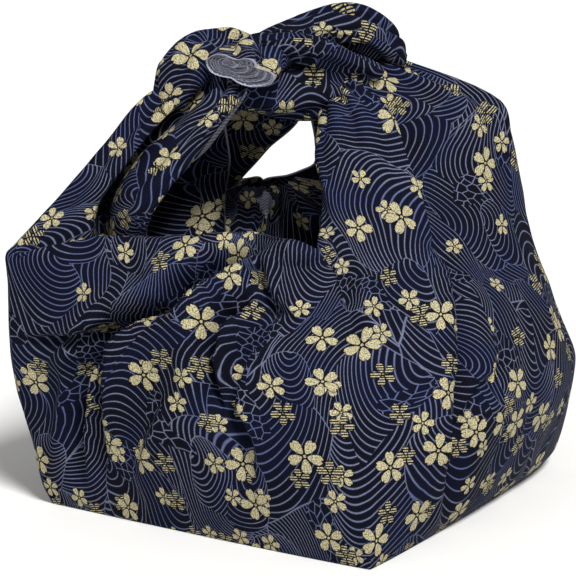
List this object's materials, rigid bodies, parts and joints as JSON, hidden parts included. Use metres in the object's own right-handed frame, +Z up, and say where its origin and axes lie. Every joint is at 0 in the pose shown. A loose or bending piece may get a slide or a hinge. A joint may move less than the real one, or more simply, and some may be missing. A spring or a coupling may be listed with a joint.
{
  "type": "furoshiki wrap",
  "caption": "Square cotton cloth folded round an empty square-based space and knotted at two corners into a bag with a handle, open at front and back.",
  "frame": {"origin": "centre of the square flat base, on the surface that the bag stands on", "axes": "+Z up, +X along the handle towards the broad shoulder, -Y towards the front opening"},
  "size_m": [0.4113, 0.362, 0.3401],
  "materials": {
    "woven_cotton": "dark navy cotton with blue wave lines and gold blossoms"
  },
  "bodies": {
    "root": {"furoshiki_cloth": "woven_cotton"}
  },
  "joints": []
}
